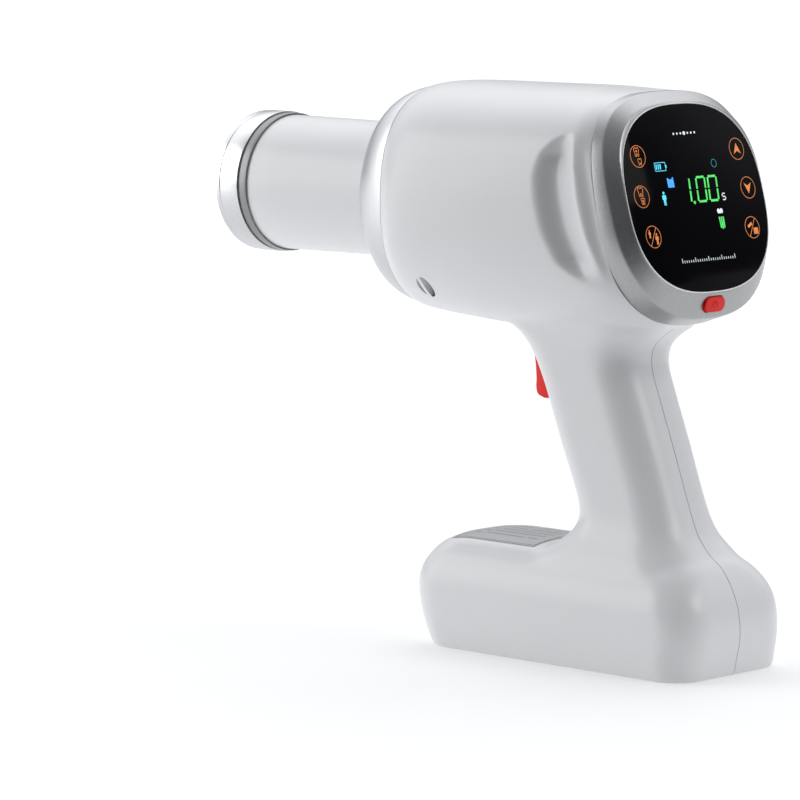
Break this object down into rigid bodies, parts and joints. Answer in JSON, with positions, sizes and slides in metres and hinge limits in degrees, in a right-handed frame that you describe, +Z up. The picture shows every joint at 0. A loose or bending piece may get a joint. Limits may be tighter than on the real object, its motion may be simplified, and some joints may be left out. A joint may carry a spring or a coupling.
{
  "type": "intraoral xray unit",
  "caption": "Pistol-shaped handheld dental x-ray generator: barrel head with aiming cone, tilted rear display in a silver bezel, red trigger, slanted grip and a heavy battery base it stands on.",
  "frame": {"origin": "on the bottom face of the base, midway between the cone's tip and the base's rear, in the parting plane", "axes": "+X from the cone's tip to the display, +Y to the screw side of the casing, +Z up"},
  "size_m": [0.2976, 0.1132, 0.2583],
  "materials": {
    "white_abs": "semi-gloss moulded white ABS",
    "pearl_paint": "pearl silver paint on plastic",
    "silver_paint": "fine metallic silver paint on plastic",
    "satin_metal": "satin turned aluminium",
    "blasted_metal": "bead-blasted aluminium",
    "black_glass": "gloss black cover glass",
    "red_plastic": "glossy red moulded plastic",
    "steel": "zinc-plated steel",
    "black_plastic": "matt black plastic",
    "green_board": "green solder mask on glass-fibre board",
    "lead": "dull grey lead sheet",
    "clear_glass": "clear borosilicate glass",
    "copper": "bare copper",
    "cell_wrap": "blue heat-shrink over a steel can",
    "label_film": "silver-grey printed film"
  },
  "bodies": {
    "housing": {"shell_left": "white_abs", "shell_right": "white_abs", "nose_ring": "pearl_paint", "cone_tube": "white_abs", "spacer_ring": "white_abs", "cap_band": "satin_metal", "cap_face": "blasted_metal", "rear_bezel": "silver_paint", "display_glass": "black_glass", "rating_label": "label_film", "charging_socket": "black_plastic", "case_screw_1": "steel", "case_screw_2": "steel", "case_screw_3": "steel", "case_screw_4": "steel", "case_screw_5": "steel", "case_screw_6": "steel", "case_screw_7": "steel", "case_screw_8": "steel", "display_module": "black_plastic", "display_board": "green_board", "power_switch": "black_plastic", "trigger_pin": "steel", "trigger_spring": "steel", "trigger_switch": "black_plastic", "tank_body": "satin_metal", "tank_lid": "satin_metal", "lead_liner": "lead", "xray_tube_glass": "clear_glass", "anode": "copper", "cathode": "steel", "collimator": "lead", "beam_filter": "satin_metal", "cone_liner": "lead", "transformer_core": "black_plastic", "transformer_coil": "copper", "voltage_multiplier": "black_plastic", "main_board": "green_board", "processor": "black_plastic", "buzzer": "black_plastic", "battery_cell_1": "cell_wrap", "battery_cell_2": "cell_wrap", "battery_cell_3": "cell_wrap", "battery_cell_4": "cell_wrap", "battery_cell_5": "cell_wrap", "battery_cell_6": "cell_wrap", "battery_tray": "black_plastic", "charge_board": "green_board", "battery_lead": "red_plastic", "trigger_lead": "black_plastic"},
    "trigger": {"trigger": "red_plastic"},
    "switch_plunger": {"trigger_switch_plunger": "red_plastic"},
    "power_button": {"power_button": "red_plastic", "power_switch_stem": "black_plastic"}
  },
  "joints": [
    {"name": "trigger_pull", "type": "hinge", "parent": "housing", "child": "trigger", "pos_m": [0.0405, 0, 0.1475], "axis": [0, -1, 0], "range_deg": [0, 7], "stiffness_Nm_per_rad": 0.25, "springref_deg": -17.19},
    {"name": "plunger_press", "type": "slide", "parent": "housing", "child": "switch_plunger", "axis": [1, 0, 0], "range_m": [0, 0.0028]},
    {"name": "power_button_press", "type": "slide", "parent": "housing", "child": "power_button", "axis": [-0.9932, 0, 0.1167], "range_m": [0, 0.0008], "stiffness_N_per_m": 600, "springref_m": -0.001}
  ],
  "couplings": [
    {"joint": "plunger_press", "follows": "trigger_pull", "m_per_rad": 0.0215}
  ]
}
